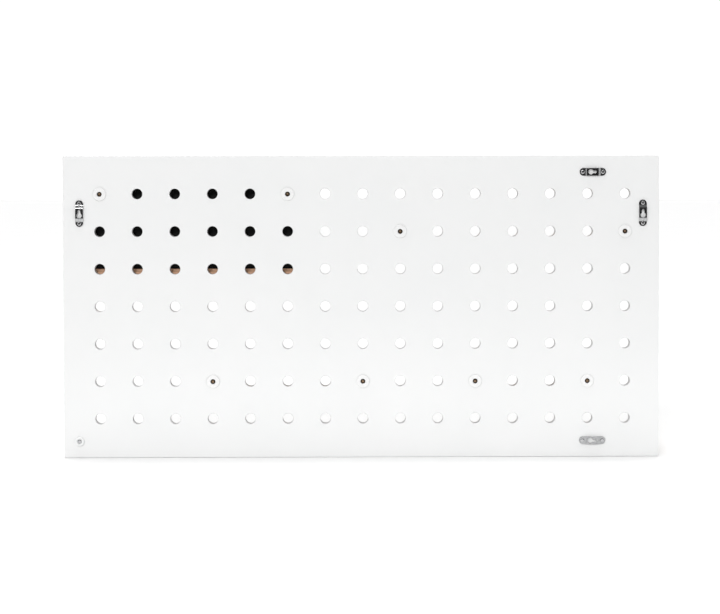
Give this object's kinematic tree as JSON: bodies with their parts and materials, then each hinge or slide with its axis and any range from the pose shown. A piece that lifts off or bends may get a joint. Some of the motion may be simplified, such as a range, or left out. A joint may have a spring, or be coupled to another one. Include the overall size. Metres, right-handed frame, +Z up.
{
  "type": "pegboard tool wall",
  "caption": "White perforated wall board with keyhole hangers on its back, and pull-out dowel pegs, lift-off shelves and a black tool panel with a wooden rail on its front.",
  "frame": {"origin": "on the board's back face, on the middle column of holes, halfway between the middle hole and the one below it", "axes": "+Y out of the back towards the wall, +Z up, +X along the board, to the right for someone in front of it"},
  "size_m": [0.794, 0.1236, 0.4026],
  "materials": {
    "board_paint": "smooth matt white paint on a wood-based board",
    "plated_steel": "bright zinc plating",
    "bumper_rubber": "soft translucent",
    "bush_plastic": "moulded, satin white",
    "bronze_pin": "aged bronze colour",
    "dowel_wood": "oiled, fine straight grain",
    "shelf_wood": "oiled, fine straight grain",
    "rail_wood": "oiled, horizontal grain",
    "panel_steel": "matt black powder coat"
  },
  "bodies": {
    "board": {"board": "board_paint", "hanger_right": "plated_steel", "hanger_right_screw_a": "plated_steel", "hanger_right_screw_b": "plated_steel", "hanger_left": "plated_steel", "hanger_left_screw_a": "plated_steel", "hanger_left_screw_b": "plated_steel", "hanger_top": "plated_steel", "hanger_top_screw_a": "plated_steel", "hanger_top_screw_b": "plated_steel", "hanger_bottom": "plated_steel", "hanger_bottom_screw_a": "plated_steel", "hanger_bottom_screw_b": "plated_steel", "wall_bumper": "bumper_rubber", "bumper_screw": "plated_steel", "peg_bush_1": "bush_plastic", "peg_bush_2": "bush_plastic", "peg_bush_3": "bush_plastic", "peg_bush_4": "bush_plastic", "peg_bush_5": "bush_plastic", "peg_bush_6": "bush_plastic", "peg_bush_7": "bush_plastic", "peg_bush_8": "bush_plastic"},
    "peg_1": {"peg_dowel_1": "dowel_wood", "peg_pin_1": "bronze_pin"},
    "peg_2": {"peg_dowel_2": "dowel_wood", "peg_pin_2": "bronze_pin"},
    "peg_3": {"peg_dowel_3": "dowel_wood", "peg_pin_3": "bronze_pin"},
    "peg_4": {"peg_dowel_4": "dowel_wood", "peg_pin_4": "bronze_pin"},
    "peg_5": {"peg_dowel_5": "dowel_wood", "peg_pin_5": "bronze_pin"},
    "peg_6": {"peg_dowel_6": "dowel_wood", "peg_pin_6": "bronze_pin"},
    "peg_7": {"peg_dowel_7": "dowel_wood", "peg_pin_7": "bronze_pin"},
    "peg_8": {"peg_dowel_8": "dowel_wood", "peg_pin_8": "bronze_pin"},
    "tool_panel": {"panel_plate": "panel_steel", "panel_rail": "rail_wood", "panel_screw_1": "plated_steel", "panel_screw_2": "plated_steel", "panel_screw_3": "plated_steel"},
    "shelf_long": {"shelf_long": "shelf_wood"},
    "shelf_medium": {"shelf_medium": "shelf_wood"},
    "shelf_short": {"shelf_short": "shelf_wood"}
  },
  "joints": [
    {"name": "peg_1_pull", "type": "slide", "parent": "board", "child": "peg_1", "axis": [0, -1, 0], "range_m": [0, 0.04]},
    {"name": "peg_2_pull", "type": "slide", "parent": "board", "child": "peg_2", "axis": [0, -1, 0], "range_m": [0, 0.04]},
    {"name": "peg_3_pull", "type": "slide", "parent": "board", "child": "peg_3", "axis": [0, -1, 0], "range_m": [0, 0.04]},
    {"name": "peg_4_pull", "type": "slide", "parent": "board", "child": "peg_4", "axis": [0, -1, 0], "range_m": [0, 0.04]},
    {"name": "peg_5_pull", "type": "slide", "parent": "board", "child": "peg_5", "axis": [0, -1, 0], "range_m": [0, 0.04]},
    {"name": "peg_6_pull", "type": "slide", "parent": "board", "child": "peg_6", "axis": [0, -1, 0], "range_m": [0, 0.04]},
    {"name": "peg_7_pull", "type": "slide", "parent": "board", "child": "peg_7", "axis": [0, -1, 0], "range_m": [0, 0.04]},
    {"name": "peg_8_pull", "type": "slide", "parent": "board", "child": "peg_8", "axis": [0, -1, 0], "range_m": [0, 0.04]},
    {"name": "tool_panel_pull", "type": "slide", "parent": "board", "child": "tool_panel", "axis": [0, -1, 0], "range_m": [0, 0.108]},
    {"name": "shelf_long_lift", "type": "slide", "parent": "board", "child": "shelf_long", "axis": [0, 0, 1], "range_m": [0, 0.04]},
    {"name": "shelf_medium_lift", "type": "slide", "parent": "board", "child": "shelf_medium", "axis": [0, 0, 1], "range_m": [0, 0.04]},
    {"name": "shelf_short_lift", "type": "slide", "parent": "board", "child": "shelf_short", "axis": [0, 0, 1], "range_m": [0, 0.04]}
  ]
}
